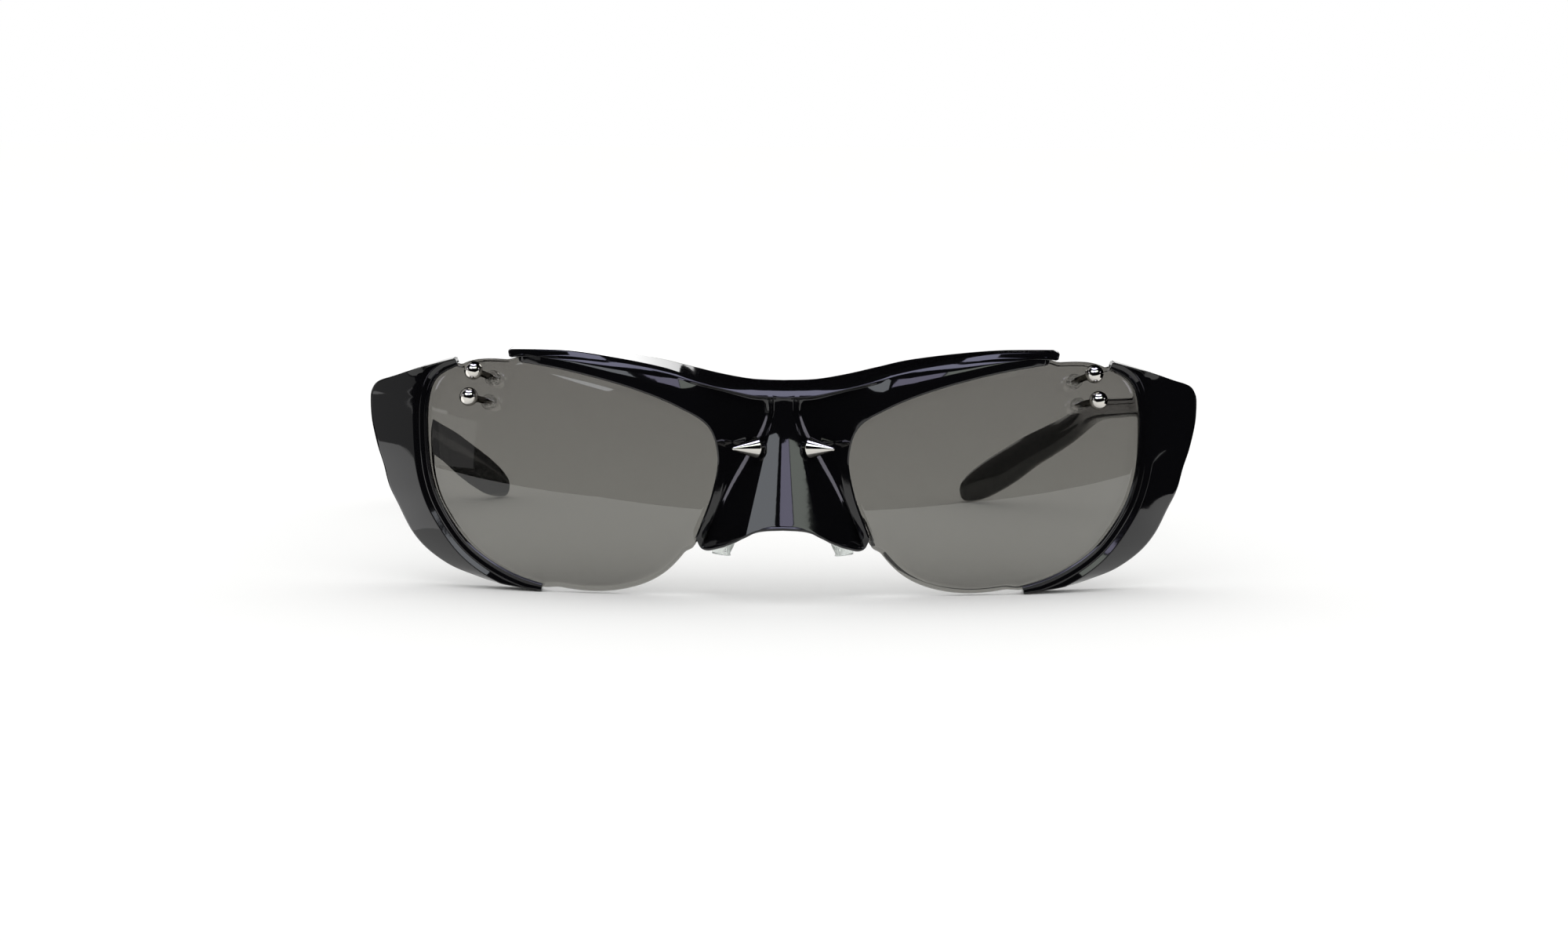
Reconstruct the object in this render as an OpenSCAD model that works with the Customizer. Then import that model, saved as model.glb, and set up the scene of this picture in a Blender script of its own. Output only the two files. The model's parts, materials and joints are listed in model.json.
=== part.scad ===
// Wrap sunglasses: two lenses in a brow-and-nose bridge, a wing at each end and two folding temples.
// Units are millimetres. X runs across the face, Y runs back along the temples and Z is up.

/* [Lenses] */
// Radius of the front surface of a lens
lens_r = 82; // [70:1:110]
// Thickness of a lens
lens_t = 2; // [1.6:0.1:2.4]
// Distance of a lens's foremost point from the middle of the nose
lens_apex_x = 20; // [16:0.5:26]
// Height of that point in the drawing frame
lens_apex_z = 16; // [12:0.5:22]
// How far a lens reaches under a covering lip
lens_cover = 0.7; // [0.4:0.1:1]

/* [Rims] */
// Thickness of the lips in front of and behind a lens
lip_t = 0.9; // [0.6:0.1:1.4]
// Distance from the lip's edge to the solid part of the frame
lip_w = 1.6; // [1.2:0.1:2.2]
// Gap between a lens and its groove
groove_gap = 0.1; // [0.05:0.01:0.2]
// Width of the sunk border between a wing's panel and its lens
border_w = 2.8; // [2:0.1:3.5]
// Height of the panel over the sunk border
border_step = 0.7; // [0.3:0.1:1.2]
// How far the slope beside the panel reaches over the border
border_slope = 0.85; // [0.1:0.05:0.95]
// Thickness of a wing's shell
wing_t = 2.6; // [2:0.1:3.5]
// Thickness of the wing where the temple meets it
butt_t = 3.5; // [3:0.1:4.2]

/* [Nose] */
// Width of the nose crease at its top, each side of the middle
crease_top_x = 3.3; // [2:0.1:5]
// Height of the crease's top in the drawing frame
crease_top_z = 32.2; // [30:0.1:34]
// How fast the creases spread going down
crease_spread = 0.478; // [0.3:0.01:0.6]
// Wall thickness of the nose pillar
pillar_t = 3.5; // [2.5:0.1:4.5]
// Reach of the nose pillar in front of the flanges at its top
pillar_top_rise = 2.2; // [1:0.1:3]
// Height of the bend below which the pillar leans forward
pillar_bend_z = 29.9; // [27:0.1:32]
// How fast the pillar leans forward there, as a share of the creases' spread
pillar_rise = 0.68; // [0.3:0.01:0.9]

/* [Hinges] */
// Distance of each hinge pin from the middle
pin_x = 69.2; // [66:0.1:72]
// Depth of each hinge pin in the drawing frame
pin_y = 24; // [22:0.1:27]
// Height of the hinge's middle in the drawing frame
pin_z = 32; // [29:0.1:34]
// Height of the whole hinge barrel
barrel_h = 5; // [4:0.1:6]
// Outer radius of the barrel
barrel_r = 1.5; // [1.2:0.1:2]
// Radius of the hinge screw
screw_r = 0.7; // [0.5:0.05:1]
// Radial play of the screw and of the rivets in their bores
bore_play = 0.05; // [0.02:0.01:0.1]
// Angle of the temples outward at their open stop
splay = 5; // [0:0.5:10]
// How far the right temple rests in from its open stop
right_rest = 10; // [0:1:40]
// Gap between the faces that meet at the open stop
butt_gap = 0.1; // [0.05:0.01:0.3]
// Distance of the hinge plates outside the pin
plate_off = 2.2; // [1.8:0.05:2.6]
// Thickness of the hinge plates
plate_t = 1.05; // [0.7:0.05:1.3]
// Height of the hinge plates
plate_h = 4; // [3:0.1:4.6]

/* [Studs and spikes] */
// Radius of each ball
ball_r = 1.65; // [1:0.05:2.5]
// Distance of each ball's middle in front of its lens
ball_out = 5.2; // [3:0.1:6]
// Radius of each ball's post
post_r = 0.6; // [0.4:0.05:0.8]
// Radius of the clear keeper behind the lens
keeper_r = 1.4; // [1.2:0.1:2.5]
// Length of the clear keeper
keeper_l = 1.8; // [1:0.1:3]
// Length of each nose spike
spike_l = 4.8; // [4:0.1:8]
// Radius of a spike's base
spike_r = 1.9; // [1:0.1:2.2]
// Radius of a spike's rounded tip
spike_tip_r = 0.35; // [0.2:0.05:0.6]
// Angle of each spike forward from straight out
spike_forward = 33; // [0:1:60]

/* [Hidden] */

// Seen edge of the right lens as [x, z], from the corner by the nose, up, out, down and back
edge = [
    [16.4, 8.3], [14.4, 12.6], [12.5, 18], [11.6, 24], [13.3, 29.5], [18.5, 33],
    [26.4, 36.1], [36, 38.6], [45.5, 40.1], [54, 40.3], [58.6, 38.9], [62.6, 36.4],
    [64, 32], [63.9, 25], [63, 18.8], [60.8, 13.4], [56.1, 7.2], [49.5, 2.9],
    [42, 0.5], [33.5, -0.45], [26.2, 0.6], [20.7, 3.4]
];
// Places on that edge where the brow ends, the wing starts, the wing ends and the nose starts
brow_end = 8.15;
wing_start = 10;
wing_end = 17.9;
nose_start = 22;
// Half length of the prism that trims the lenses to their outline
trim_reach = 40;

// Brow from the middle to its tip: back top edge, front ridge and lower end of the rounded front, as [x, y, z]
brow = [
    [[0, 3, 37.6], [0, -2.4, 36.2], [0, -3.4, 34.9]],
    [[5.5, 3.1, 37.8], [5, -2.3, 36.3], [4.6, -3.3, 35]],
    [[11, 3.4, 38.7], [9.8, -2.1, 36.9], [9.6, -3, 36]],
    [[16.7, 3.9, 40], [15.4, -1.7, 38.1], [15.3, -2.5, 37.4]],
    [[22.3, 4.6, 41.2], [21.1, -1.3, 39.9], [21, -2, 39.2]],
    [[30.7, 6, 42.2], [29.5, -0.2, 41.5], [29.4, -0.9, 40.8]],
    [[39.2, 8, 42.7], [38.6, 2.1, 42.6], [38.6, 1.4, 41.6]],
    [[49.7, 11, 42.6], [49.5, 5.9, 42.5], [49.5, 5.2, 41]]
];
// Cuts through the bridge outside the crease: place along the brow, then place along the lens edge
flange_cuts = [
    [0.8, 0], [0.95, 1], [1.15, 2], [1.45, 3], [1.9, 4], [2.35, 4.6], [3, 5],
    [3.7, 5.5], [4.35, 6], [5, 6.5], [6, 7.3], [6.5, 7.8], [7, 8.15]
];
// Lower edge of the nose pillar as [x, z]
arch = [[0, 12], [4.5, 11.6], [8.4, 9.7], [11.5, 8.1], [14.3, 7]];
// Place along the brow above the crease, and the drop of the step that hides under the ridge
brow_at_crease = 0.75;
undercut = 0.45;
// Underside of the brow behind its ridge: its thickness at the back edge and its steps back and down
brow_t = 0.6;
under_step = 0.15;
under_drop = 0.25;
// Points under the pillar's foot as shares of its wall, and the rounding there
foot_steps = [0.17, 0.4, 0.6, 0.83];
foot_round = 0.5;
// Front of the flanges beside the nose, and the distances between which they turn into the arms
flange_y = -1;
flange_end_x = 9;
arm_start_x = 19;
// How far the arms' lip comes in front of the brow's rounded front, and how soon it does
lip_reach = 0.9;
arm_lean = 1.8;
// Share of the crease width that the pillar's face takes, and how far the face falls back to its edges
face_share = 0.5;
face_drop = 0.15;

// Wing: place on the lens edge, then outer edge as x, y, z, then depth of the rear edge
wing = [
    [10, 59.5, 12.8, 40.2, 18.1], [10.5, 62.4, 13.6, 39.4, 19.9], [11, 65.35, 15, 38.5, 21.9],
    [11.25, 67.35, 16.2, 37.9, 24], [11.5, 70.65, 18.4, 36.7, 24], [11.7, 73.95, 20.7, 35.5, 24],
    [11.85, 75.15, 21.4, 34, 24], [12, 75.45, 21.5, 32.2, 24], [12.5, 75.15, 20.6, 28.5, 24],
    [13, 74.05, 19, 24.1, 22.6], [13.5, 72.85, 18.4, 20.5, 21.3], [14, 71.75, 17.8, 16.6, 20.4],
    [14.5, 69.95, 17, 13.1, 19.4], [15, 67.65, 15.6, 8.9, 18], [15.5, 64.75, 14.6, 5.6, 16.8],
    [16, 60.45, 13, 2.8, 15.3], [16.5, 55.85, 11.2, 1.2, 13.4], [17, 50.9, 9.4, -0.1, 11.5],
    [17.5, 46.5, 8, -0.6, 10], [17.9, 43.1, 7, -0.85, 8.8]
];

// The wing's rear edge beside the temple, set out and down from its outer edge between two heights
rear_out = 0.2;
rear_drop = 0.4;
rear_low_z = 24;
rear_high_z = 28;
// How far in front of the pin the wing starts to thicken towards the temple, and the crown of its panel
butt_blend = 2;
panel_crown = 0.02;
// Thickness of the wing's thin ends, and the reach at which it is full
wing_end_t = 1.2;
wing_full_reach = 4;
// Where the wing is narrow: shares of its reach for the border and the lip, and the reach of the full form
border_share = 0.85;
lip_share = 0.75;
step_full_reach = 5;
// How far the front lip thins to the lens, and the depth and thickness shares of the wing's inner side
lip_fall = 0.3;
side_depth = 0.35;
side_share = 0.95;
// Depth of the back lip, so that it stays clear of the lens, and the rise of the wing's back over it
back_lip = lip_t + 0.1;
back_rise = 0.1;
// Shares of the way along the bridge's back and the wing's back where their extra points lie
bridge_back = [0.65, 0.3];
wing_back = 0.3;

// Temple, pointing straight back: middle as x, y, z, then height and thickness
temple_path = [
    [72.9, 30, 30.8, 6.2, 3.6], [72.6, 38, 30.3, 5.4, 3.4], [72.3, 48, 29.2, 4.3, 3.2],
    [72.1, 60, 28, 3.8, 3], [72, 80, 26, 4, 3], [71.9, 100, 23.9, 4.4, 3],
    [71.4, 113, 21.2, 5, 3.1], [68.9, 121.4, 17.6, 5.8, 3.2], [66, 127, 14.8, 6.4, 3.3],
    [62.7, 132, 12, 7, 3.4], [59.5, 137.3, 8.7, 7.6, 3.4], [56.2, 142.3, 5.6, 7.6, 3.3],
    [53.4, 146.2, 3.1, 6.7, 3.1], [51.4, 148.8, 1.5, 4.6, 2.8], [50.7, 149.8, 1.1, 2.8, 2]
];
// Front face of the temple where it meets the wing: distance outside the pin, drop below it and height
butt_out = 3.9;
butt_drop = 0.8;
butt_h = 6.8;
// Outline of a temple's cut, clockwise from the top, as shares of thickness and height
temple_cut = [
    [0, 0.5], [0.3, 0.47], [0.46, 0.38], [0.5, 0.2], [0.5, -0.2], [0.46, -0.38], [0.3, -0.47],
    [0, -0.5], [-0.3, -0.47], [-0.46, -0.38], [-0.5, -0.2], [-0.5, 0.2], [-0.46, 0.38], [-0.3, 0.47]
];

// Studs on the right lens and the nose pad's stem as [x, z]
upper_stud = [53.1, 37.35];
lower_stud = [53.8, 33];
keeper_gap = 0.05;
pad_stem = [11.7, 14];
pad_stem_r = 0.8;
pad_stem_l = 1.8;
pad_seat_gap = 0.18;
// Middle line of the right nose pad as x, y, z, then thickness and width
pad_path = [
    [11, 4.6, 18.6, 0.8, 1.4], [11.1, 4.9, 17.4, 1.6, 2.6], [11.5, 5.6, 14.6, 1.9, 3.8],
    [11.5, 6.3, 11.2, 1.9, 5], [11.2, 6.9, 8, 1.9, 6], [11, 7.1, 5.8, 1.2, 5]
];
// Middle height of each spike in the drawing frame and its share of the crease width
spike_z = 26.2;
spike_share = 0.6;
spike_stem_r = 0.6;
spike_stem_l = 2;
spike_base_gap = 1.05;

// Hinge plates: their faces, their ends before and behind the pin, and the rivets' distances from it
plate_in = pin_x + plate_off;
plate_out = plate_in + plate_t;
front_plate_y = pin_y - 4.1;
temple_plate_y = pin_y + 6.5;
wing_rivet_y = pin_y - 2.6;
temple_rivet_y = pin_y + 4;
rivet_l = 2;
rivet_r = 0.5;
rivet_head_r = 0.85;
rivet_head_t = 0.4;
rivet_spread = 1.1;
rivet_end_gap = 0.1;
screw_head_r = 1.2;
screw_head_h = 0.5;
screw_slot_w = 0.3;
screw_base_gap = 0.1;
pocket_gap = 0.05;
pocket_in = 2;
well_gap = 0.15;
knuckle_gap = 0.05;
arm_gap = 0.1;
third = barrel_h / 3;
pin = [pin_x, pin_y, 0];

// Smooth curve through a list of vectors, open or closed
function cubic(a, b, c, d, f) =
    0.5 * (2 * b + (c - a) * f + (2 * a - 5 * b + 4 * c - d) * f * f + (3 * b - a - 3 * c + d) * f * f * f);
function along(list, t) =
    let (last = len(list) - 1, i = max(0, min(last - 1, floor(t))))
    cubic(list[max(0, i - 1)], list[i], list[i + 1], list[min(last, i + 2)], t - i);
function around(list, t) =
    let (n = len(list), i = floor(t))
    cubic(list[(i - 1 + n) % n], list[(i + n) % n], list[(i + 1) % n], list[(i + 2) % n], t - i);
function mix(a, b, f) = a + (b - a) * f;
function ease(a, b, t) = let (f = max(0, min(1, (t - a) / (b - a)))) f * f * (3 - 2 * f);

// Point on the lens edge, and the direction there that points away from the lens
function rim_point(t) = around(edge, t);
function rim_out(t) =
    let (d = around(edge, t + 0.05) - around(edge, t - 0.05))
    [-d.y, d.x] / norm(d);
// Depth of the lens's front and back at x, z
function lens_front(p) =
    lens_r - sqrt(lens_r * lens_r - pow(abs(p.x) - lens_apex_x, 2) - pow(p.y - lens_apex_z, 2));
function lens_back(p) =
    lens_r - sqrt(pow(lens_r - lens_t, 2) - pow(abs(p.x) - lens_apex_x, 2) - pow(p.y - lens_apex_z, 2));
function lift(p, y) = [p.x, y, p.y];
// Cover of the lens's edge by the frame, which fades where the edge is bare
function cover(t) =
    lens_cover * max(1 - ease(brow_end, brow_end + 0.3, t), ease(wing_start - 0.2, wing_start + 0.1, t))
    * (1 - ease(wing_end, wing_end + 0.4, t) + ease(nose_start - 0.3, nose_start, t));

// The groove round the lens's edge: both lips and its floor, from front to back
function groove(t) =
    let (e = rim_point(t), r = e + rim_out(t) * (lens_cover + groove_gap))
    [
        lift(e, lens_front(e) - lip_t),
        lift(e, lens_front(e) - groove_gap),
        lift(r, lens_front(r) - groove_gap),
        lift(r, lens_back(r) + groove_gap),
        lift(e, lens_back(e) + groove_gap),
        lift(e, lens_back(e) + lip_t)
    ];

// Outline of a lens, and the middle of the sphere that its surfaces share
lens_outline = [for (t = [0:0.25:len(edge) - 0.25]) rim_point(t) + rim_out(t) * cover(t)];
lens_centre = [lens_apex_x, lens_r, lens_apex_z];

// Nose pillar
function crease_x(z) = crease_top_x + max(0, crease_top_z - z) * crease_spread;
flank_slope = (1 - face_drop) / (1 - face_share);
pillar_slope = pillar_rise * crease_spread;
function pillar_bulge(f) = f < face_share ? 1 - face_drop * pow(f / face_share, 2) : flank_slope * (1 - f);
function pillar_y(f, z) = flange_y - (pillar_top_rise + pillar_slope * max(0, pillar_bend_z - z)) * pillar_bulge(f);
function pillar_point(f, z, back) = [f * min(arch[len(arch) - 1].x, crease_x(z)), pillar_y(f, z) + back, z];
function brow_rear(top) = [
    [top[2].x, top[0].y + under_step, top[2].z - under_drop],
    [top[1].x, top[0].y + 2 * under_step, top[1].z],
    top[0] + [0, under_step, -brow_t]
];
function pillar_cut(f) =
    let (top = along(brow, f * brow_at_crease),
         foot = along(arch, f * (len(arch) - 1)),
         z1 = top[2].z - undercut,
         z3 = foot.y + lip_w,
         z2 = max(pillar_bend_z, z3 + lip_w),
         y = pillar_y(f, foot.y))
    [
        each top,
        pillar_point(f, z1, 0), pillar_point(f, z2, 0), pillar_point(f, z3, 0),
        [foot.x, y, foot.y + foot_round],
        for (k = foot_steps) [foot.x, y + k * pillar_t, foot.y],
        [foot.x, y + pillar_t, foot.y + foot_round],
        pillar_point(f, z3, pillar_t), pillar_point(f, z2, pillar_t), pillar_point(f, z1, pillar_t),
        each brow_rear(top)
    ];
// Front of the flanges and arms at a distance from the middle, v of the way from the ridge to the lip
function front_y(x, ridge_y, v) =
    mix(flange_y, ridge_y - lip_reach * (1 - pow(1 - v, arm_lean)), ease(flange_end_x, arm_start_x, x));
function flange_cut(c) =
    let (top = along(brow, c.x),
         g = groove(c.y),
         e = rim_point(c.y),
         m = e + rim_out(c.y) * lip_w,
         step = undercut / norm(m - [top[2].x, top[2].z]),
         f1 = mix(top[2], lift(m, 0), step),
         f2 = mix(top[2], lift(m, 0), 0.5),
         low_back = lift(m, lens_back(m) + back_lip),
         rear = brow_rear(top))
    [
        each top,
        [f1.x, front_y(f1.x, top[2].y, step), f1.z],
        [f2.x, front_y(f2.x, top[2].y, 0.5), f2.z],
        lift(m, front_y(m.x, top[2].y, 1)),
        lift(e, front_y(e.x, top[2].y, 1)), g[1], g[2], g[3], g[4], g[5],
        low_back, for (k = bridge_back) mix(rear[0], low_back, k),
        each rear
    ];
pillar_steps = [0, 0.34 * face_share, 0.68 * face_share, face_share, mix(face_share, 1, 0.5), 1];
flange_count = 40;
half_bridge = [
    for (f = pillar_steps) pillar_cut(f),
    for (i = [0:flange_count]) flange_cut(along(flange_cuts, i * (len(flange_cuts) - 1) / flange_count))
];
function mirrored(cut) = [for (p = cut) [-p.x, p.y, p.z]];
bridge_cuts = [
    for (i = [len(half_bridge) - 1:-1:1]) mirrored(half_bridge[i]),
    for (cut = half_bridge) cut
];

// Wing: from its rear edge over the panel and the sunk border to the lens, and back inside
function wing_cut(w) =
    let (t = w[0],
         out = rim_out(t),
         e = rim_point(t),
         g = groove(t),
         s = [w[1], w[2], w[3]],
         reach = norm([s.x, s.z] - e),
         at_q = min(border_w, reach * border_share),
         at_m = min(lip_w, reach * lip_share),
         q = e + out * at_q,
         m = e + out * at_m,
         base = mix(q, m, border_slope),
         wide = ease(lip_w, step_full_reach, reach),
         far = mix(wing_end_t, wing_t, ease(wing_end_t, wing_full_reach, reach)),
         thick = mix(far, butt_t, ease(pin_y - butt_blend, pin_y, w[4])),
         high = wide * ease(rear_low_z, rear_high_z, s.z),
         rear = [s.x + rear_out * high, w[4], s.z - rear_drop * high],
         rear_wall = min(thick, max(0, [rear.x - e.x, rear.z - e.y] * out - at_m)),
         rear_in = rear - lift(out * rear_wall, 0),
         panel = lift(q, lens_front(q) - lip_t - border_step * wide),
         panel_mid = mix(panel, s, 0.5) - [0, panel_crown * reach, 0],
         wall = min(thick * side_share, reach - at_m),
         inner = [s.x, s.z] - out * wall,
         behind = reach - wall < at_q ? lens_back(inner) + back_lip + back_rise : 0,
         side_in = lift(inner, max(behind, mix(s.y, w[4], side_depth))),
         low_back = lift(m, lens_back(m) + back_lip),
         q_back = lift(q, lens_back(q) + back_lip),
         mid_back = mix(q_back, side_in, 0.5))
    [
        rear, s, panel_mid, panel,
        lift(base, lens_front(base) - lip_t), lift(m, lens_front(m) - lip_t),
        g[0] + [0, lip_fall, 0], g[1], g[2], g[3], g[4], g[5],
        low_back, q_back, mix(q_back, mid_back, wing_back), mid_back, side_in, rear_in
    ];
wing_count = 54;
wing_cuts = [for (i = [0:wing_count]) wing_cut(along(wing, i * (len(wing) - 1) / wing_count))];

// Temple, at its open stop
function opened(p) =
    let (d = p - pin)
    pin + [d.x * cos(splay) + d.y * sin(splay), d.y * cos(splay) - d.x * sin(splay), d.z];
function swept(path, cut, i) =
    let (row = path[i],
         last = len(path) - 1,
         ahead = path[min(last, i + 1)] - path[max(0, i - 1)],
         way = [ahead.x, ahead.y, ahead.z] / norm([ahead.x, ahead.y, ahead.z]),
         side = cross(way, [0, 0, 1]) / norm(cross(way, [0, 0, 1])),
         top = cross(side, way))
    [for (c = cut) [row.x, row.y, row.z] + side * c.x * row[4] + top * c.y * row[3]];
pad_rows = [for (i = [0:0.5:len(pad_path) - 1]) along(pad_path, i)];
temple_rows = [for (i = [0:0.5:len(temple_path) - 1]) along(temple_path, i)];
temple_cuts = [
    [for (c = temple_cut)
        [pin_x + butt_out + c.x * butt_t, pin_y + butt_gap, pin_z - butt_drop + c.y * butt_h]],
    for (i = [0:len(temple_rows) - 1]) [for (p = swept(temple_rows, temple_cut, i)) opened(p)]
];

// Shift to the frame whose origin is the middle of the underside of the box round everything
function turned(p, angle) =
    let (d = p - pin)
    pin + [d.x * cos(angle) - d.y * sin(angle), d.x * sin(angle) + d.y * cos(angle), d.z];
wing_points = [for (cut = wing_cuts) each cut];
bridge_points = [for (cut = bridge_cuts) each cut];
left_points = [for (cut = temple_cuts) for (p = cut) p];
right_points = [for (p = left_points) turned(p, right_rest)];
spike_way = [cos(spike_forward), -sin(spike_forward), 0];
spike_seat = pillar_point(spike_share, spike_z, 0);
spike_base = spike_seat + spike_way * spike_base_gap;
spike_front = (spike_base + spike_way * spike_l).y - spike_tip_r;
max_x = max([for (p = concat(wing_points, right_points)) p.x]);
min_x = -max([for (p = concat(wing_points, left_points)) p.x]);
max_y = max([for (p = concat(left_points, right_points)) p.y]);
min_y = min(spike_front, min([for (p = bridge_points) p.y]));
min_z = min([for (p = concat(wing_points, left_points)) p.z]);
frame_shift = -[(max_x + min_x) / 2, (max_y + min_y) / 2, min_z];

// Ends of a loft as four-sided pieces: across a plain cut, and round the groove of a rim
function strip_caps(m) = [for (k = [0:m / 2 - 2]) [k, k + 1, m - 2 - k, m - 1 - k]];
rim_caps = concat([for (k = [0:4]) [k, k + 1, 16 - k, 17 - k]], [[5, 8, 9, 12], [5, 6, 7, 8], [9, 10, 11, 12]]);

// Solid through cuts of equal count, closed at both ends
module loft(cuts, caps) {
    n = len(cuts);
    m = len(cuts[0]);
    end = (n - 1) * m;
    sides = [
        for (i = [0:n - 2]) for (j = [0:m - 1])
        let (a = i * m + j, b = i * m + (j + 1) % m)
        each [[a, b + m, b], [a, a + m, b + m]]
    ];
    first = [for (c = caps) each [[c[0], c[1], c[2]], [c[0], c[2], c[3]]]];
    last = [for (c = caps) each [[end + c[0], end + c[2], end + c[1]], [end + c[0], end + c[3], end + c[2]]]];
    polyhedron([for (c = cuts) each c], concat(sides, first, last));
}

// Places: the right side as drawn, its mirror image, and the right temple at rest
module right() {
    translate(frame_shift) children();
}
module left() {
    translate(frame_shift) mirror([1, 0, 0]) children();
}
module right_folded() {
    translate(frame_shift + pin) rotate([0, 0, right_rest]) translate(-pin) children();
}
module on_lens(p) {
    n = (lift(p, lens_front(p)) - lens_centre) / lens_r;
    translate(lift(p, lens_front(p))) rotate([0, acos(n.z), atan2(n.y, n.x)]) children();
}
module on_spike() {
    translate(spike_base) rotate([0, 90, -spike_forward]) children();
}
module at_rivets(y) {
    for (z = [-rivet_spread, rivet_spread]) {
        translate([plate_in, y, pin_z + z]) rotate([0, 90, 0]) children();
    }
}
module rivet_bores(y) {
    at_rivets(y) cylinder(r = rivet_r + bore_play, h = rivet_l + rivet_end_gap, $fn = 24);
}

module lens() {
    color("dimgray", 0.7)
    difference() {
        intersection() {
            difference() {
                translate(lens_centre) sphere(r = lens_r, $fn = 180);
                translate(lens_centre) sphere(r = lens_r - lens_t, $fn = 180);
            }
            translate([0, trim_reach, 0]) rotate([90, 0, 0]) linear_extrude(2 * trim_reach) polygon(lens_outline);
        }
        for (p = [upper_stud, lower_stud]) {
            on_lens(p) translate([0, 0, -2 * lens_t]) cylinder(r = post_r + bore_play, h = 3 * lens_t, $fn = 32);
        }
    }
}

module bridge() {
    color([0.06, 0.06, 0.07])
    difference() {
        loft(bridge_cuts, rim_caps);
        for (m = [0, 1]) mirror([m, 0, 0]) on_spike() translate([0, 0, -spike_base_gap - spike_stem_l])
            cylinder(r = spike_stem_r + bore_play, h = spike_stem_l + 2, $fn = 32);
    }
}

module wing() {
    color([0.06, 0.06, 0.07])
    difference() {
        loft(wing_cuts, rim_caps);
        hinge_pocket(front_plate_y - pocket_gap, pin_y + 1);
        barrel_well();
        rivet_bores(wing_rivet_y);
    }
}

module temple() {
    color([0.06, 0.06, 0.07])
    difference() {
        loft(temple_cuts, strip_caps(len(temple_cut)));
        hinge_pocket(pin_y - 1, temple_plate_y + pocket_gap);
        rivet_bores(temple_rivet_y);
    }
}

module hinge_pocket(y0, y1) {
    h = plate_h + 2 * pocket_gap;
    translate([pin_x - pocket_in, y0, pin_z - h / 2])
        cube([plate_out + pocket_gap - pin_x + pocket_in, y1 - y0, h]);
}

// Room in the wing for the barrel and the screw's head
module barrel_well() {
    r = barrel_r + well_gap;
    low = barrel_h / 2 + well_gap;
    high = barrel_h / 2 + knuckle_gap + screw_head_h + well_gap;
    translate([pin_x - 3 * r, pin_y - r, pin_z - low]) cube([4 * r, 2 * r, low + high]);
}

module knuckle(z0, z1, y0, y1) {
    a0 = max(z0, (barrel_h - plate_h) / 2);
    a1 = min(z1, (barrel_h + plate_h) / 2);
    translate([0, 0, pin_z - barrel_h / 2]) {
        translate([pin_x, pin_y, z0]) cylinder(r = barrel_r, h = z1 - z0, $fn = 48);
        translate([pin_x, y0, a0]) cube([plate_out - pin_x, y1 - y0, a1 - a0]);
    }
}

module screw_bore() {
    translate([pin_x, pin_y, pin_z - barrel_h]) cylinder(r = screw_r + bore_play, h = 2 * barrel_h, $fn = 32);
}

module hinge_front() {
    y1 = pin_y - arm_gap;
    color("silver")
    difference() {
        union() {
            knuckle(0, third - knuckle_gap, y1 - barrel_r + 2 * arm_gap, y1);
            knuckle(2 * third + knuckle_gap, barrel_h, y1 - barrel_r + 2 * arm_gap, y1);
            translate([plate_in, front_plate_y, pin_z - plate_h / 2])
                cube([plate_out - plate_in, y1 - front_plate_y, plate_h]);
        }
        screw_bore();
        rivet_bores(wing_rivet_y);
    }
}

module hinge_temple() {
    y0 = pin_y + butt_gap + arm_gap;
    color("silver")
    difference() {
        union() {
            knuckle(third + knuckle_gap, 2 * third - knuckle_gap, y0, pin_y + barrel_r - arm_gap);
            translate([plate_in, y0, pin_z - plate_h / 2])
                cube([plate_out - plate_in, temple_plate_y - y0, plate_h]);
        }
        screw_bore();
        rivet_bores(temple_rivet_y);
    }
}

module hinge_screw() {
    color("silver")
    translate([pin_x, pin_y, pin_z - barrel_h / 2]) difference() {
        union() {
            translate([0, 0, screw_base_gap]) cylinder(r = screw_r, h = barrel_h, $fn = 32);
            translate([0, 0, barrel_h + knuckle_gap]) cylinder(r = screw_head_r, h = screw_head_h, $fn = 32);
        }
        translate([-screw_head_r, -screw_slot_w / 2, barrel_h + knuckle_gap + screw_head_h / 2])
            cube([2 * screw_head_r, screw_slot_w, screw_head_h]);
    }
}

module rivets(y) {
    color("silver")
    at_rivets(y) {
        translate([0, 0, -rivet_head_t]) cylinder(r = rivet_head_r, h = rivet_head_t, $fn = 24);
        cylinder(r = rivet_r, h = rivet_l, $fn = 24);
    }
}

module nose_pad() {
    color("white", 0.6) {
        loft([for (i = [0:len(pad_rows) - 1]) swept(pad_rows, temple_cut, i)], strip_caps(len(temple_cut)));
        translate([pad_stem.x, lens_back(pad_stem) + lip_t + pad_seat_gap, pad_stem.y])
            rotate([-90, 0, 0]) cylinder(r = pad_stem_r, h = pad_stem_l, $fn = 32);
    }
}

module spike() {
    color("silver")
    on_spike() {
        translate([0, 0, -spike_base_gap - spike_stem_l + bore_play])
            cylinder(r = spike_stem_r, h = spike_base_gap + spike_stem_l, $fn = 32);
        cylinder(r1 = spike_r, r2 = spike_tip_r, h = spike_l, $fn = 48);
        translate([0, 0, spike_l]) sphere(r = spike_tip_r, $fn = 32);
    }
}

module stud(p) {
    color("silver")
    on_lens(p) {
        translate([0, 0, -lens_t - keeper_l]) cylinder(r = post_r, h = lens_t + keeper_l + ball_out, $fn = 32);
        translate([0, 0, ball_out]) sphere(r = ball_r, $fn = 48);
    }
}

module keeper(p) {
    color("white", 0.6)
    on_lens(p) translate([0, 0, -lens_t - keeper_l - keeper_gap]) difference() {
        cylinder(r = keeper_r, h = keeper_l, $fn = 48);
        translate([0, 0, -1]) cylinder(r = post_r + bore_play, h = keeper_l + 2, $fn = 32);
    }
}

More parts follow.
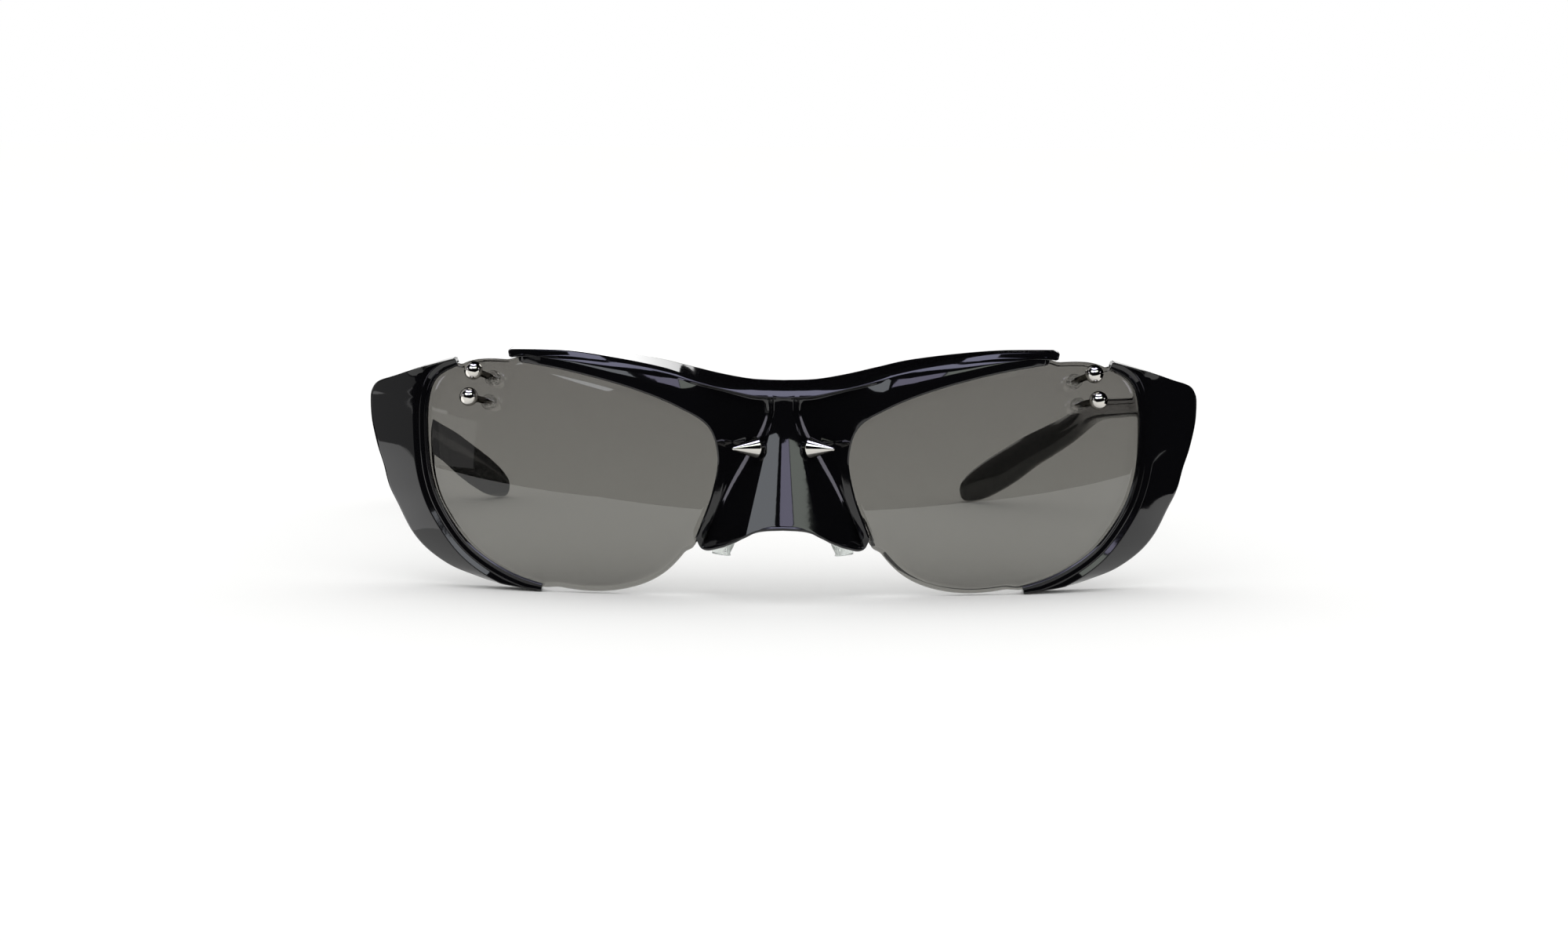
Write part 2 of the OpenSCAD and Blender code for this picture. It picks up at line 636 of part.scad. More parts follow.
right() bridge();
left() lens();  // left_lens
right() lens();  // right_lens
left() wing();  // left_wing
right() wing();  // right_wing
left() temple();  // left_temple
right_folded() temple();  // right_temple
left() hinge_front();  // left_hinge_front
right() hinge_front();  // right_hinge_front
left() hinge_temple();  // left_hinge_temple
right_folded() hinge_temple();  // right_hinge_temple
left() hinge_screw();  // left_hinge_screw
right() hinge_screw();  // right_hinge_screw
left() rivets(wing_rivet_y);  // left_wing_rivets
right() rivets(wing_rivet_y);  // right_wing_rivets
left() rivets(temple_rivet_y);  // left_temple_rivets
right_folded() rivets(temple_rivet_y);  // right_temple_rivets
left() nose_pad();  // left_nose_pad
right() nose_pad();  // right_nose_pad
left() spike();  // left_spike
right() spike();  // right_spike
left() stud(upper_stud);  // left_upper_stud
right() stud(upper_stud);  // right_upper_stud
left() stud(lower_stud);  // left_lower_stud
right() stud(lower_stud);  // right_lower_stud
left() keeper(upper_stud);  // left_upper_keeper
right() keeper(upper_stud);  // right_upper_keeper
left() keeper(lower_stud);  // left_lower_keeper
right() keeper(lower_stud);  // right_lower_keeper
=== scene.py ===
import json
import math
import bpy
import numpy as np
from mathutils import Matrix, Vector


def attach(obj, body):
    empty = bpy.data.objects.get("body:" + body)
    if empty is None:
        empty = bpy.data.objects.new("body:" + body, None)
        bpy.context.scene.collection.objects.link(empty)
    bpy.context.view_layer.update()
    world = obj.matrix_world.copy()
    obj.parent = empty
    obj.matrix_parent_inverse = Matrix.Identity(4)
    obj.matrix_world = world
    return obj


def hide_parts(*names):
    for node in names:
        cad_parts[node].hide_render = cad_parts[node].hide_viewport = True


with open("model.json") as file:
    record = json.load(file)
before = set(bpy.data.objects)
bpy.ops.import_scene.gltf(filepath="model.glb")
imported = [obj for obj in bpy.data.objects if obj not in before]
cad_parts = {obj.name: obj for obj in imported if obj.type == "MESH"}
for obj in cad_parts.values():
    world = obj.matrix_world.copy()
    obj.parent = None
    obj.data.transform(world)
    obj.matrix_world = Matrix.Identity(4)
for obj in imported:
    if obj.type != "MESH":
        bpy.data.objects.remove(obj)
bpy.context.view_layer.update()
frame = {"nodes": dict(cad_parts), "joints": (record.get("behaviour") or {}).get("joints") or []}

print("frame loaded")

# The drawing works in millimetres, with the hinge pins at x 69.2, y 24, z 32
hingePin = {"x": 69.2, "y": 24.0, "z": 32.0, "rightRest": 10.0, "splay": 5.0}
rightJoint = next(j for j in frame["joints"] if j["name"] == "right_hinge")
drawShift = np.array(rightJoint["pos_m"]) - np.array([hingePin["x"], hingePin["y"], hingePin["z"]]) / 1000


def toFrame(points):
    return np.asarray(points, float) / 1000 + drawShift


def srgb(hexColour, alpha=1.0):
    parts = [int(hexColour[i:i + 2], 16) / 255 for i in (1, 3, 5)]
    return tuple(p / 12.92 if p <= 0.04045 else ((p + 0.055) / 1.055) ** 2.4 for p in parts) + (alpha,)


# Curves

def blendFour(a, b, c, d, f):
    return 0.5 * (2 * b + (c - a) * f + (2 * a - 5 * b + 4 * c - d) * f**2 + (3 * b - a - 3 * c + d) * f**3)


def along(rows, t):
    rows = np.asarray(rows, float)
    last = len(rows) - 1
    i = int(max(0, min(last - 1, math.floor(t))))
    return blendFour(rows[max(0, i - 1)], rows[i], rows[i + 1], rows[min(last, i + 2)], t - i)


def around(rows, t):
    rows = np.asarray(rows, float)
    n = len(rows)
    i = math.floor(t)
    return blendFour(rows[(i - 1) % n], rows[i % n], rows[(i + 1) % n], rows[(i + 2) % n], t - i)


def mix(a, b, f):
    return a + (b - a) * f


def ease(a, b, t):
    f = max(0.0, min(1.0, (t - a) / (b - a)))
    return f * f * (3 - 2 * f)


def filletRing(points, radii, steps=4):
    # Rounds each corner of a closed ring; every corner gives steps + 1 points
    pts = np.asarray(points, float)
    n = len(pts)
    ring = []
    for i in range(n):
        p, before, after = pts[i], pts[i - 1] - pts[i], pts[(i + 1) % n] - pts[i]
        lb, la = max(1e-9, np.linalg.norm(before)), max(1e-9, np.linalg.norm(after))
        start = p + before / lb * min(radii[i], lb * 0.45)
        end = p + after / la * min(radii[i], la * 0.45)
        for k in range(steps + 1):
            f = k / steps
            ring.append((1 - f) ** 2 * start + 2 * f * (1 - f) * p + f * f * end)
    return np.array(ring)


# Meshes

def addMesh(name, verts, faces, material, body, replaced):
    mesh = bpy.data.meshes.new(name)
    mesh.from_pydata([tuple(v) for v in toFrame(verts)], [], faces)
    mesh.validate()
    mesh.polygons.foreach_set("use_smooth", [True] * len(mesh.polygons))
    obj = bpy.data.objects.new(name, mesh)
    bpy.context.scene.collection.objects.link(obj)
    mesh.materials.append(material)
    shade = obj.modifiers.new("evenShade", "WEIGHTED_NORMAL")
    shade.weight = 60
    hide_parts(*replaced)
    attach(obj, body)
    return obj


def loftMesh(name, rings, material, body, replaced, mirrorX=False):
    # Skins a row of closed rings and caps both ends
    rings = np.array(rings)
    count, size = rings.shape[:2]
    verts = rings.reshape(-1, 3).copy()
    faces = []
    for start in range(0, (count - 1) * size, size):
        for k in range(size):
            m = (k + 1) % size
            faces.append((start + k, start + m, start + size + m, start + size + k))
    faces.append(tuple(range(size))[::-1])
    faces.append(tuple(range((count - 1) * size, count * size)))
    if mirrorX:
        verts[:, 0] *= -1
        faces = [f[::-1] for f in faces]
    return addMesh(name, verts, faces, material, body, replaced)


def turnedRings(rings, degrees):
    # Turns points about the right hinge pin, seen from above
    a = math.radians(degrees)
    out = np.array(rings, float)
    dx, dy = out[..., 0] - hingePin["x"], out[..., 1] - hingePin["y"]
    out[..., 0] = hingePin["x"] + dx * math.cos(a) - dy * math.sin(a)
    out[..., 1] = hingePin["y"] + dx * math.sin(a) + dy * math.cos(a)
    return out


# Materials

def newMaterial(name):
    mat = bpy.data.materials.new(name)
    mat.use_nodes = True
    tree = mat.node_tree
    return mat, tree, tree.nodes["Principled BSDF"]


def node(tree, kind, settings=None, inputs=None, links=None):
    # Adds one node: settings on it, values for its sockets, and (from node, from socket) by socket
    made = tree.nodes.new(kind)
    for key, value in (settings or {}).items():
        setattr(made, key, value)
    for key, value in (inputs or {}).items():
        made.inputs[key].default_value = value
    for key, (source, socket) in (links or {}).items():
        tree.links.new(source.outputs[socket], made.inputs[key])
    return made


def perMetre(millimetres):
    return 1000 / millimetres


def polishedNylon():
    # Injection-moulded nylon, polished and clear-lacquered: deep black with crisp reflections
    mat, tree, shader = newMaterial("polishedNylon")
    shader.inputs["Base Color"].default_value = srgb("#08080A")
    shader.inputs["IOR"].default_value = 1.53
    place = node(tree, "ShaderNodeTexCoord")
    haze = node(tree, "ShaderNodeTexNoise", inputs={"Scale": perMetre(9), "Detail": 4.0},
                links={"Vector": (place, "Object")})
    rough = node(tree, "ShaderNodeMapRange", inputs={"To Min": 0.035, "To Max": 0.075},
                 links={"Value": (haze, "Fac")})
    tree.links.new(rough.outputs["Result"], shader.inputs["Roughness"])
    # Faint orange peel of the lacquer, about 1.5 mm from crest to crest
    peel = node(tree, "ShaderNodeTexNoise", inputs={"Scale": perMetre(1.5), "Detail": 2.0},
                links={"Vector": (place, "Object")})
    bump = node(tree, "ShaderNodeBump", inputs={"Strength": 0.02, "Distance": 0.0002},
                links={"Height": (peel, "Fac")})
    tree.links.new(bump.outputs["Normal"], shader.inputs["Normal"])
    return mat


def smokePolycarbonate():
    # Cast polycarbonate with a grey dye: clear, slightly warm grey, darker towards its top; its lighter lower part
    # is a painted reflection of the bright table in front
    mat, tree, shader = newMaterial("smokePolycarbonate")
    shader.inputs["IOR"].default_value = 1.586
    shader.inputs["Roughness"].default_value = 0.0
    shader.inputs["Transmission Weight"].default_value = 1.0
    place = node(tree, "ShaderNodeTexCoord")
    height = node(tree, "ShaderNodeSeparateXYZ", links={"Vector": (place, "Object")})
    share = node(tree, "ShaderNodeMapRange", inputs={"From Min": 0.0, "From Max": 0.041},
                 links={"Value": (height, "Z")})
    # Painted reflection: the dye colour is lightened low on the lens, standing in for the bright table it mirrors
    dyeAndReflection = node(tree, "ShaderNodeMix", {"data_type": "RGBA"},
                links={"Factor": (share, "Result")})
    dyeAndReflection.inputs["A"].default_value = srgb(lensDyeAndReflection["low"])
    dyeAndReflection.inputs["B"].default_value = srgb(lensDyeAndReflection["high"])
    tree.links.new(dyeAndReflection.outputs["Result"], shader.inputs["Base Color"])
    # A dyed lens lets a grey shadow through, not a black one
    ray = node(tree, "ShaderNodeLightPath")
    through = node(tree, "ShaderNodeBsdfTransparent", inputs={"Color": srgb(lensDyeAndReflection["shadow"])})
    pick = node(tree, "ShaderNodeMixShader", links={"Fac": (ray, "Is Shadow Ray")})
    tree.links.new(shader.outputs["BSDF"], pick.inputs[1])
    tree.links.new(through.outputs["BSDF"], pick.inputs[2])
    tree.links.new(pick.outputs["Shader"], tree.nodes["Material Output"].inputs["Surface"])
    return mat


def polishedSteel():
    # Surgical steel, turned and tumbled to a mirror: bright, faintly warm
    mat, tree, shader = newMaterial("polishedSteel")
    shader.inputs["Base Color"].default_value = srgb("#D5D2CC")
    shader.inputs["Metallic"].default_value = 1.0
    # Painted shade: a dark edge colour darkens the very edge of each ball, as on the photograph
    shader.inputs["Specular Tint"].default_value = srgb("#3A3835")
    place = node(tree, "ShaderNodeTexCoord")
    swirl = node(tree, "ShaderNodeTexNoise", inputs={"Scale": perMetre(0.8), "Detail": 3.0},
                 links={"Vector": (place, "Object")})
    rough = node(tree, "ShaderNodeMapRange", inputs={"To Min": 0.04, "To Max": 0.1},
                 links={"Value": (swirl, "Fac")})
    tree.links.new(rough.outputs["Result"], shader.inputs["Roughness"])
    return mat


def brushedNickelSilver():
    # Nickel silver hinge stock, barrel finished: soft satin
    mat, tree, shader = newMaterial("brushedNickelSilver")
    shader.inputs["Base Color"].default_value = srgb("#B9B6AE")
    shader.inputs["Metallic"].default_value = 1.0
    place = node(tree, "ShaderNodeTexCoord")
    grain = node(tree, "ShaderNodeTexNoise", inputs={"Scale": perMetre(0.3), "Detail": 5.0},
                 links={"Vector": (place, "Object")})
    rough = node(tree, "ShaderNodeMapRange", inputs={"To Min": 0.2, "To Max": 0.4},
                 links={"Value": (grain, "Fac")})
    tree.links.new(rough.outputs["Result"], shader.inputs["Roughness"])
    return mat


def clearSilicone():
    # Moulded silicone nose pads: milky clear and soft edged
    mat, tree, shader = newMaterial("clearSilicone")
    shader.inputs["Base Color"].default_value = srgb("#E9EEEA")
    shader.inputs["IOR"].default_value = 1.41
    shader.inputs["Transmission Weight"].default_value = 0.85
    place = node(tree, "ShaderNodeTexCoord")
    cloud = node(tree, "ShaderNodeTexNoise", inputs={"Scale": perMetre(3), "Detail": 3.0},
                 links={"Vector": (place, "Object")})
    rough = node(tree, "ShaderNodeMapRange", inputs={"To Min": 0.18, "To Max": 0.35},
                 links={"Value": (cloud, "Fac")})
    tree.links.new(rough.outputs["Result"], shader.inputs["Roughness"])
    return mat


def clearAcrylic():
    # Turned acrylic keepers: glassy, with bright rims
    mat, tree, shader = newMaterial("clearAcrylic")
    shader.inputs["Base Color"].default_value = srgb("#F2F4F3")
    shader.inputs["IOR"].default_value = 1.49
    shader.inputs["Transmission Weight"].default_value = 1.0
    place = node(tree, "ShaderNodeTexCoord")
    tool = node(tree, "ShaderNodeTexNoise", inputs={"Scale": perMetre(0.6), "Detail": 2.0},
                links={"Vector": (place, "Object")})
    rough = node(tree, "ShaderNodeMapRange", inputs={"To Min": 0.02, "To Max": 0.12},
                 links={"Value": (tool, "Fac")})
    tree.links.new(rough.outputs["Result"], shader.inputs["Roughness"])
    # Such a small clear piece behind a dyed lens is seen mostly by its rims
    straight = node(tree, "ShaderNodeBsdfTransparent", inputs={"Color": srgb("#FFFFFF")})
    pick = node(tree, "ShaderNodeMixShader", inputs={"Fac": 0.6})
    tree.links.new(shader.outputs["BSDF"], pick.inputs[1])
    tree.links.new(straight.outputs["BSDF"], pick.inputs[2])
    tree.links.new(pick.outputs["Shader"], tree.nodes["Material Output"].inputs["Surface"])
    return mat


# Grey dye colours; the low one is lightened as a painted reflection of the table, the shadow one is the dye's own
lensDyeAndReflection = {"low": "#777671", "high": "#696763", "shadow": "#8C8B88"}
nylon = polishedNylon()
smoke = smokePolycarbonate()
steel = polishedSteel()
nickel = brushedNickelSilver()
silicone = clearSilicone()
acrylic = clearAcrylic()
print("materials made")

# Lenses
lensShape = {"radius": 82.0, "thick": 2.0, "apexX": 20.0, "apexZ": 16.0, "cover": 0.7, "bevel": 0.35,
             "browEnd": 8.15, "wingStart": 10.0, "wingEnd": 17.9, "noseStart": 22.0,
             "middle": (38.0, 21.0), "hub": 0.04, "edgePoints": 352, "rings": 22}
# Its outline seen from in front, as x and z, starting beside the nose
lensEdge = [
    (16.4, 8.3), (14.4, 12.6), (12.5, 18), (11.6, 24), (13.3, 29.5), (18.5, 33),
    (26.4, 36.1), (36, 38.6), (45.5, 40.1), (54, 40.3), (58.6, 38.9), (62.6, 36.4),
    (64, 32), (63.9, 25), (63, 18.8), (60.8, 13.4), (56.1, 7.2), (49.5, 2.9),
    (42, 0.5), (33.5, -0.45), (26.2, 0.6), (20.7, 3.4)]


def rimPoint(t):
    return around(lensEdge, t)


def rimOut(t):
    d = around(lensEdge, t + 0.05) - around(lensEdge, t - 0.05)
    d = d / np.linalg.norm(d)
    return np.array([-d[1], d[0]])


def depthOn(p, radius):
    s = lensShape
    return s["radius"] - math.sqrt(radius**2 - (abs(p[0]) - s["apexX"]) ** 2 - (p[1] - s["apexZ"]) ** 2)


def lensFront(p):
    return depthOn(p, lensShape["radius"])


def lensBack(p):
    return depthOn(p, lensShape["radius"] - lensShape["thick"])


def lift(p, y):
    return np.array([p[0], y, p[1]])


def coverAt(t):
    # How far the lens runs on into a groove: nothing on its two bare stretches
    s = lensShape
    covered = max(1 - ease(s["browEnd"], s["browEnd"] + 0.3, t), ease(s["wingStart"] - 0.2, s["wingStart"] + 0.1, t))
    return s["cover"] * covered * (1 - ease(s["wingEnd"], s["wingEnd"] + 0.4, t)
                                   + ease(s["noseStart"] - 0.3, s["noseStart"], t))


def makeLens(side):
    s = lensShape
    middle = np.array(s["middle"])
    count = s["edgePoints"]
    edge = [rimPoint(t) + rimOut(t) * coverAt(t) for t in np.arange(count) * len(lensEdge) / count]
    face = [q - (q - middle) / np.linalg.norm(q - middle) * s["bevel"] for q in edge]
    # From the middle of the front, over the bevelled edge, to the middle of the back
    shares = np.linspace(s["hub"], 1, s["rings"])
    rings = [[lift(mix(middle, p, f), lensFront(mix(middle, p, f))) for p in face] for f in shares]
    rings.append([lift(q, lensFront(q) + s["bevel"]) for q in edge])
    rings.append([lift(q, lensBack(q) - s["bevel"]) for q in edge])
    rings += [[lift(mix(middle, p, f), lensBack(mix(middle, p, f))) for p in face] for f in shares[::-1]]
    return loftMesh(side + "SmokeLens", rings, smoke, "front", [side + "_lens"], side == "left")


# Grooves round the lenses
rimShape = {"lip": 0.9, "lipWidth": 1.6, "gap": 0.1, "bevel": 0.28}


def groove(t):
    # Six points from the front lip into the groove and out again behind the lens
    e = rimPoint(t)
    r = e + rimOut(t) * (lensShape["cover"] + rimShape["gap"])
    return [lift(e, lensFront(e) - rimShape["lip"]), lift(e, lensFront(e) - rimShape["gap"]),
            lift(r, lensFront(r) - rimShape["gap"]), lift(r, lensBack(r) + rimShape["gap"]),
            lift(e, lensBack(e) + rimShape["gap"]), lift(e, lensBack(e) + rimShape["lip"])]


# Brow and nose piece: rows from the middle of the brow out to its tip: rear edge, front edge and the ridge below it
browLines = [
    [(0, 3, 37.6), (0, -2.4, 36.2), (0, -3.4, 34.9)],
    [(5.5, 3.1, 37.8), (5, -2.3, 36.3), (4.6, -3.3, 35)],
    [(11, 3.4, 38.7), (9.8, -2.1, 36.9), (9.6, -3, 36)],
    [(16.7, 3.9, 40), (15.4, -1.7, 38.1), (15.3, -2.5, 37.4)],
    [(22.3, 4.6, 41.2), (21.1, -1.3, 39.9), (21, -2, 39.2)],
    [(30.7, 6, 42.2), (29.5, -0.2, 41.5), (29.4, -0.9, 40.8)],
    [(39.2, 8, 42.7), (38.6, 2.1, 42.6), (38.6, 1.4, 41.6)],
    [(49.7, 11, 42.6), (49.5, 5.9, 42.5), (49.5, 5.2, 41)]]
# Where each cut starts on the brow and where it meets the lens outline
flangeCuts = [(0.8, 0), (0.95, 1), (1.15, 2), (1.45, 3), (1.9, 4), (2.35, 4.6), (3, 5),
              (3.7, 5.5), (4.35, 6), (5, 6.5), (6, 7.3), (6.5, 7.8), (7, 8.15)]
archLine = [(0, 12), (4.5, 11.6), (8.4, 9.7), (11.5, 8.1), (14.3, 7)]
noseShape = {
    "creaseX": 3.3, "creaseZ": 32.2, "spread": 0.478, "widest": 14.3, "thick": 3.5,
    "rise": 0.68, "front": -1.0, "faceShare": 0.5, "faceDrop": 0.15, "topRise": 2.2, "bendZ": 29.9, "bendLong": 1.1,
    "lipReach": 0.9, "lean": 1.8, "nasal": (9.0, 19.0), "undercut": 0.45, "browShare": 0.75,
    "footUp": 0.8, "footRound": [(0, 0.5), (0.2, 0.15), (0.6, 0), (1.4, 0), (2.1, 0), (2.9, 0)],
    "rows": 24, "pillarCuts": 26, "flangeCuts": 150,
    "creaseShare": 0.66, "creaseAfter": 6, "creaseCuts": 14, "creaseWide": (1.0, 0.5),
    "tipRound": 0.5, "tipShare": 0.3, "tipSkip": 3, "endRings": 14, "endX": 47.7, "endZ": 41.8, "endHalf": 0.85}
# Roundings of a cut's corners: on the brow's top, in the groove and at the back
browRadii = {"top": [0.5, 0.25, 0.25], "face": 0.3, "groove": [0.06, 0.06, 0.1, 0.05, 0.05, 0.1, 0.3],
             "back": [0.5, 0.5, 0.4]}


def creaseX(z):
    return noseShape["creaseX"] + max(0, noseShape["creaseZ"] - z) * noseShape["spread"]


def pillarBulge(f):
    # A gently crowned face between two edges, then a flank down to the crease
    share, drop = noseShape["faceShare"], noseShape["faceDrop"]
    if f < share:
        return 1 - drop * (f / share) ** 2
    return (1 - drop) * (1 - f) / (1 - share)


def pillarY(f, z):
    # Upright under the brow, bending smoothly into the slope of the nose
    s = noseShape
    slope = s["rise"] * s["spread"]
    rise = s["topRise"] + slope * s["bendLong"] * math.log1p(math.exp((s["bendZ"] - z) / s["bendLong"]))
    return s["front"] - rise * pillarBulge(f)


def pillarPoint(f, z, back):
    return np.array([f * min(noseShape["widest"], creaseX(z)), pillarY(f, z) + back, z])


def browBack(top):
    # The brow's back, from under its top up to its rear edge
    return [np.array([top[2][0], top[0][1] + 0.1, top[2][2] - 0.4]),
            np.array([top[1][0], top[0][1] + 0.2, top[1][2]]), top[0] + np.array([0, 0.1, -0.6])]


def pillarCut(f):
    s = noseShape
    top = along(browLines, f * s["browShare"])
    foot = along(archLine, f * (len(archLine) - 1))
    y = pillarY(f, foot[1])
    # Close under the ridge the front steps back, out of sight
    rows = np.linspace(top[2][2] - s["undercut"], foot[1] + s["footUp"], s["rows"])
    front = [pillarPoint(f, z, 0) for z in rows]
    back = [pillarPoint(f, z, s["thick"]) for z in rows][::-1]
    end = [(foot[0], y + depth, foot[1] + height) for depth, height in s["footRound"] + [(s["thick"], 0.5)]]
    return np.array([top[0], top[1], top[2]] + front + end + back + browBack(top))


def frontY(p, top, v):
    # Upright beside the nose; on the arms the face leans back going up, so that it mirrors the lamps in front
    s = noseShape
    nasal = 1 - ease(*s["nasal"], p[0])
    return mix(top[1] - s["lipReach"] * (1 - (1 - v) ** s["lean"]), s["front"], nasal)


def flangeCut(b, t):
    s = noseShape
    top = along(browLines, b)
    e = rimPoint(t)
    m = e + rimOut(t) * rimShape["lipWidth"]
    g = groove(t)
    low, lowBack = lift(m, 0), lift(m, lensBack(m) + rimShape["lip"] + 0.1)
    rear = browBack(top)
    shares = np.linspace(s["undercut"] / np.linalg.norm((low - top[2])[[0, 2]]), 1, s["rows"])
    front = [mix(top[2], low, v) for v in shares]
    for p, v in zip(front, shares):
        p[1] = frontY(p, top[2], v)
    back = [mix(rear[0], lowBack, v) for v in shares[::-1]]
    bevel = rimShape["bevel"]
    edge = [lift(e + rimOut(t) * bevel, 0), lift(e, 0)]
    edge[0][1] = frontY(edge[0], top[2], 1)
    edge[1][1] = frontY(edge[1], top[2], 1) + bevel
    return np.array([top[0], top[1], top[2]] + front + edge + g[1:] + back + rear)


def makeBridge():
    s = noseShape
    cuts = [pillarCut(f) for f in np.linspace(0, s["creaseShare"], s["pillarCuts"])]
    flange = [flangeCut(*along(flangeCuts, i * (len(flangeCuts) - 1) / s["flangeCuts"]))
              for i in range(s["flangeCuts"] + 1)]
    # The crease beside the pillar is a small hollow, not a sharp line
    n, skip = s["rows"], s["creaseAfter"]
    corner = pillarCut(1)
    # It is widest at the top and narrows downwards
    wide = np.full((len(corner), 1), s["creaseWide"][1])
    wide[3:3 + n, 0] = np.linspace(*s["creaseWide"], n)
    before, after = mix(corner, cuts[-1], wide), mix(corner, flange[skip], wide)
    for v in np.linspace(0, 1, s["creaseCuts"] + 1):
        cuts.append((1 - v) ** 2 * before + 2 * v * (1 - v) * corner + v * v * after)
    cuts += flange[skip:]
    face = [browRadii["face"]] * n
    radii = browRadii["top"] + face + browRadii["groove"] + face + browRadii["back"]
    half = [filletRing(c, radii, 3) for c in cuts]
    # Rounds the brow's tip
    tip = half[-1]
    inward = half[-2].mean(axis=0) - tip.mean(axis=0)
    inward /= np.linalg.norm(inward)
    rounding = [(1 - math.sin(a), 1 - math.cos(a)) for a in np.linspace(0, math.pi / 2, 6)]
    half = half[:-s["tipSkip"]]
    half += [mix(tip, tip.mean(axis=0), s["tipShare"] * narrow) + inward * s["tipRound"] * back
             for back, narrow in rounding]
    for ring in half[-s["endRings"]:]:
        height = np.clip(np.abs(ring[:, 2] - s["endZ"]) / s["endHalf"], 0, 0.98)
        ring[:, 0] -= np.maximum(ring[:, 0] - s["endX"], 0) * (1 - np.sqrt(1 - height**2))
    left = [ring * np.array([-1, 1, 1]) for ring in half[:0:-1]]
    return loftMesh("browAndNose", left + half, nylon, "front", ["bridge"])


# Wings: place on the lens outline, the outer edge as x, depth and z, and the depth at the wing's rear
wingRows = [
    (10, 59.5, 12.8, 40.2, 18.1), (10.5, 62.4, 13.6, 39.4, 19.9), (11, 65.35, 15, 38.5, 21.9),
    (11.25, 67.35, 16.2, 37.9, 24), (11.5, 70.65, 18.4, 36.7, 24), (11.7, 73.95, 20.7, 35.5, 24),
    (11.85, 75.15, 21.4, 34, 24), (12, 75.45, 21.5, 32.2, 24), (12.5, 75.15, 20.6, 28.5, 24),
    (13, 74.05, 19, 24.1, 22.6), (13.5, 72.85, 18.4, 20.5, 21.3), (14, 71.75, 17.8, 16.6, 20.4),
    (14.5, 69.95, 17, 13.1, 19.4), (15, 67.65, 15.6, 8.9, 18), (15.5, 64.75, 14.6, 5.6, 16.8),
    (16, 60.45, 13, 2.8, 15.3), (16.5, 55.85, 11.2, 1.2, 13.4), (17, 50.9, 9.4, -0.1, 11.5),
    (17.5, 46.5, 8, -0.6, 10), (17.9, 43.1, 7, -0.85, 8.8)]
wingShape = {
    "border": 2.8, "borderShare": 0.85, "lipShare": 0.75, "step": 0.7, "slope": 0.85, "lipFall": 0.3, "crown": 0.02,
    "narrow": (1.6, 5.0), "thin": 1.2, "thinTo": 4.0, "thick": 2.6, "butt": 3.5, "buttFrom": (22.0, 24.0),
    "rearOut": 0.2, "rearDrop": 0.4, "highFrom": (24.0, 28.0), "panelShares": (0.84, 0.68, 0.52, 0.36, 0.2, 0.08),
    "cuts": 190}
wingRadii = {"edge": [0.25, 0.6], "panel": [0.8] * 6, "border": [0.18, 0.1, 0.08, 0.12],
             "groove": [0.05, 0.05, 0.1, 0.05, 0.05, 0.1, 0.3], "back": [0.5, 0.5, 0.5, 0.8, 0.6, 0.3]}


def wingCut(w):
    # One ring round the wing's wall; its rear stays in front of the hinge pin
    shape, t, s, rearY = wingShape, w[0], np.array(w[1:4]), min(w[4], hingePin["y"])
    out, e, g = rimOut(t), rimPoint(t), groove(t)
    reach = np.linalg.norm(s[[0, 2]] - e)
    atQ = min(shape["border"], reach * shape["borderShare"])
    atM = min(rimShape["lipWidth"], reach * shape["lipShare"])
    q, m = e + out * atQ, e + out * atM
    wide = ease(*shape["narrow"], reach)
    step = shape["step"] * wide
    far = mix(shape["thin"], shape["thick"], ease(shape["thin"], shape["thinTo"], reach))
    thick = mix(far, shape["butt"], ease(*shape["buttFrom"], rearY))
    high = wide * ease(*shape["highFrom"], s[2])
    rear = np.array([s[0] + shape["rearOut"] * high, rearY, s[2] - shape["rearDrop"] * high])
    rearWall = min(thick, max(0, np.dot(rear[[0, 2]] - e, out) - atM))
    rearIn = rear - np.array([out[0], 0, out[1]]) * rearWall
    panel = lift(q, lensFront(q) - rimShape["lip"] - step)
    panelMid = mix(panel, s, 0.5) - np.array([0, shape["crown"] * reach, 0])
    wall = min(thick * 0.95, reach - atM)
    inner = s[[0, 2]] - out * wall
    behind = lensBack(inner) + rimShape["lip"] + 0.2 if reach - wall < atQ else 0
    sideIn = lift(inner, max(behind, mix(s[1], rearY, 0.35)))
    lowBack = lift(m, lensBack(m) + rimShape["lip"] + 0.1)
    qBack = lift(q, lensBack(q) + rimShape["lip"] + 0.1)
    midBack = mix(qBack, sideIn, 0.5)
    # The panel runs as one curve from its inner edge to the outer edge
    curve = [(1 - f) ** 2 * panel + 2 * f * (1 - f) * (2 * panelMid - 0.5 * (panel + s)) + f * f * s
             for f in shape["panelShares"]]
    # A sloping border falls from the panel to the lip round the lens
    base = mix(q, m, shape["slope"])
    border = [lift(base, lensFront(base) - rimShape["lip"] + 0.05), lift(m, lensFront(m) - rimShape["lip"]),
              lift(mix(m, e, 0.5), lensFront(m) - rimShape["lip"] + 0.05)]
    bevel = rimShape["bevel"]
    g[0] = g[0] + np.array([0, shape["lipFall"], 0])
    lip = [g[0] + lift(out * bevel, -0.05), g[0] + np.array([0, bevel - 0.05, 0])]
    return [rear, s] + curve + [panel] + border + lip + g[1:] + [
        lowBack, qBack, qBack + (midBack - qBack) * 0.3, midBack, sideIn, rearIn]


def makeWing(side):
    radii = sum(wingRadii.values(), [])
    n = wingShape["cuts"]
    rings = [filletRing(wingCut(along(wingRows, i * (len(wingRows) - 1) / n)), radii, 4) for i in range(n + 1)]
    return loftMesh(side + "SideWing", rings, nylon, "front", [side + "_wing"], side == "left")


